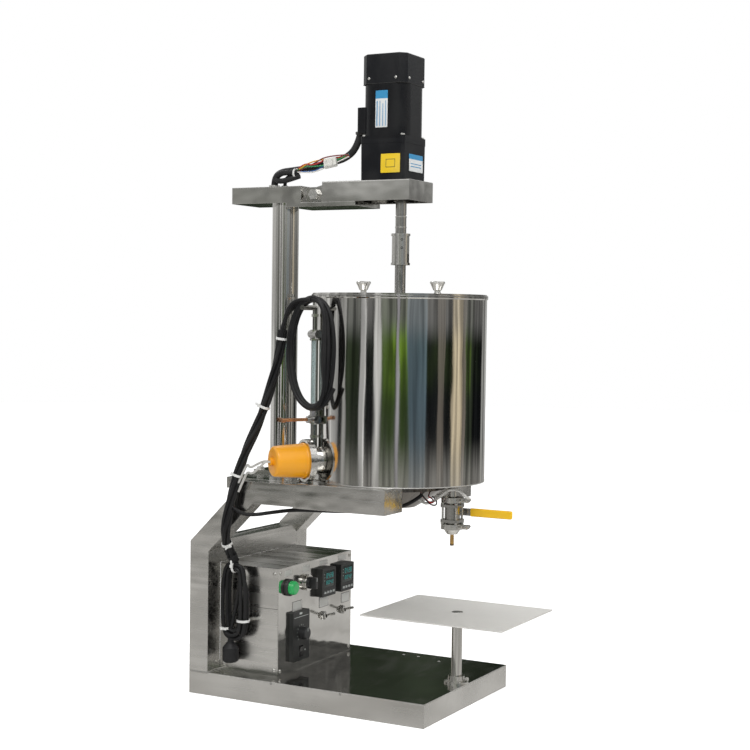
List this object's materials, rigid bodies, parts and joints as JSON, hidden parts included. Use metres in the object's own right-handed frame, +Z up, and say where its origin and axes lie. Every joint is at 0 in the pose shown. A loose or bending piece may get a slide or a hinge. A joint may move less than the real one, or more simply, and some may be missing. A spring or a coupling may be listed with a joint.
{
  "type": "heated_filling_machine",
  "caption": "Benchtop heated filling machine: oil-jacketed stirred hopper on a tube frame, tilting gear motor, ball valve with nozzle, swivelling bottle platform and a switch panel.",
  "frame": {"origin": "on the floor, under the middle of the tube frame", "axes": "+X to the right seen from the front, -Y to the front (panel, valve and platform), +Z up"},
  "size_m": [0.3857, 0.5995, 1.1699],
  "materials": {
    "mirror_stainless": "polished stainless sheet",
    "brushed_stainless": "brushed stainless",
    "machined_steel": "turned and ground steel",
    "motor_paint": "black satin paint",
    "nozzle_brass": "turned brass",
    "gauge_glass": "clear tube",
    "orange_plastic": "moulded yellow-orange cap",
    "yellow_plastic": "dipped vinyl grip",
    "black_plastic": "fine-grained black moulding",
    "key_rubber": "grey rubber keys and gasket",
    "green_lens": "translucent green lens",
    "switch_chrome": "bright plated",
    "cable_sheath": "black flexible sheath"
  },
  "bodies": {
    "root": {"arm_sleeves": "brushed_stainless", "base_frame": "brushed_stainless", "base_sheet": "brushed_stainless", "cable_bundle": "cable_sheath", "cable_hank": "cable_sheath", "column": "mirror_stainless", "control_box": "brushed_stainless", "control_gear": "black_plastic", "control_panel": "mirror_stainless", "deck_plate": "brushed_stainless", "drop_hank": "cable_sheath", "gauge_fittings": "machined_steel", "gauge_glass": "gauge_glass", "heater_cap": "orange_plastic", "heater_element": "machined_steel", "heater_gasket": "key_rubber", "heater_socket": "machined_steel", "hopper": "mirror_stainless", "lamp_bezel": "black_plastic", "lamp_lens": "green_lens", "mains_plug": "black_plastic", "motor_lead": "cable_sheath", "nozzle": "nozzle_brass", "pipe_clamps": "machined_steel", "pivot_bolt": "machined_steel", "post_socket": "brushed_stainless", "rear_beam": "mirror_stainless", "rear_cross_tube": "brushed_stainless", "reducer_cap": "machined_steel", "side_frame_left": "brushed_stainless", "side_frame_right": "brushed_stainless", "speed_controller": "black_plastic", "switch_bodies": "switch_chrome", "tank_jacket": "mirror_stainless", "temperature_controllers": "black_plastic", "valve_body": "machined_steel", "valve_end_caps": "machined_steel", "valve_tie_rods": "machined_steel"},
    "motor_arm": {"motor_tray": "mirror_stainless", "gearbox": "motor_paint", "motor_body": "motor_paint", "fan_cover": "motor_paint"},
    "drive": {"output_shaft": "machined_steel", "coupling_sleeve": "machined_steel"},
    "stirrer": {"stirrer": "brushed_stainless"},
    "lid_front": {"lid_front": "mirror_stainless"},
    "lid_rear": {"lid_rear": "mirror_stainless"},
    "valve": {"valve_ball": "machined_steel", "valve_lever": "machined_steel", "lever_grip": "yellow_plastic"},
    "drain_key": {"gauge_drain_key": "nozzle_brass"},
    "selector": {"selector_knob": "black_plastic"},
    "speed": {"speed_knob": "black_plastic"},
    "rocker": {"power_rocker": "black_plastic"},
    "toggle_left": {"toggle_lever_left": "switch_chrome"},
    "toggle_right": {"toggle_lever_right": "switch_chrome"},
    "keys_left": {"controller_keys_left": "key_rubber"},
    "keys_right": {"controller_keys_right": "key_rubber"},
    "post": {"platform_post": "brushed_stainless"},
    "platform": {"platform_plate": "brushed_stainless"}
  },
  "joints": [
    {"name": "motor_tilt", "type": "hinge", "parent": "root", "child": "motor_arm", "pos_m": [0, 0.068, 0.922], "axis": [-1, 0, 0], "range_deg": [0, 60], "deforming": ["motor_lead"]},
    {"name": "stirrer_spin", "type": "hinge", "parent": "root", "child": "stirrer", "pos_m": [0, -0.0945, 0.6], "axis": [0, 0, 1], "continuous": true},
    {"name": "drive_spin", "type": "hinge", "parent": "motor_arm", "child": "drive", "pos_m": [0, -0.0945, 0.85], "axis": [0, 0, 1], "continuous": true},
    {"name": "lid_front_lift", "type": "slide", "parent": "root", "child": "lid_front", "axis": [0, 0, 1], "range_m": [0, 0.12]},
    {"name": "lid_rear_lift", "type": "slide", "parent": "root", "child": "lid_rear", "axis": [0, 0, 1], "range_m": [0, 0.12]},
    {"name": "valve_turn", "type": "hinge", "parent": "root", "child": "valve", "pos_m": [0, -0.207, 0.347], "axis": [1, 0, 0], "range_deg": [0, 90]},
    {"name": "drain_key_turn", "type": "hinge", "parent": "root", "child": "drain_key", "pos_m": [-0.13297, 0.0057, 0.513], "axis": [-0.7986, 0.6018, 0], "range_deg": [0, 90]},
    {"name": "selector_turn", "type": "hinge", "parent": "root", "child": "selector", "pos_m": [-0.038, 0.07, 0.2], "axis": [0, 1, 0], "range_deg": [-45, 45]},
    {"name": "speed_turn", "type": "hinge", "parent": "root", "child": "speed", "pos_m": [-0.066, 0.06, 0.111], "axis": [0, 1, 0], "range_deg": [0, 270]},
    {"name": "rocker_tip", "type": "hinge", "parent": "root", "child": "rocker", "pos_m": [-0.066, 0.071, 0.077], "axis": [-1, 0, 0], "range_deg": [0, 16]},
    {"name": "toggle_left_flip", "type": "hinge", "parent": "root", "child": "toggle_left", "pos_m": [0.026, 0.073, 0.127], "axis": [1, 0, 0], "range_deg": [0, 30]},
    {"name": "toggle_right_flip", "type": "hinge", "parent": "root", "child": "toggle_right", "pos_m": [0.098, 0.073, 0.127], "axis": [1, 0, 0], "range_deg": [0, 30]},
    {"name": "keys_left_press", "type": "slide", "parent": "root", "child": "keys_left", "axis": [0, 1, 0], "range_m": [0, 0.0008], "stiffness_N_per_m": 600},
    {"name": "keys_right_press", "type": "slide", "parent": "root", "child": "keys_right", "axis": [0, 1, 0], "range_m": [0, 0.0008], "stiffness_N_per_m": 600},
    {"name": "platform_lift", "type": "slide", "parent": "root", "child": "post", "axis": [0, 0, 1], "range_m": [0, 0.02]},
    {"name": "platform_turn", "type": "hinge", "parent": "post", "child": "platform", "pos_m": [0, -0.22, 0.16], "axis": [0, 0, 1], "continuous": true}
  ],
  "couplings": [
    {"joint": "drive_spin", "follows": "stirrer_spin", "ratio": 1}
  ]
}
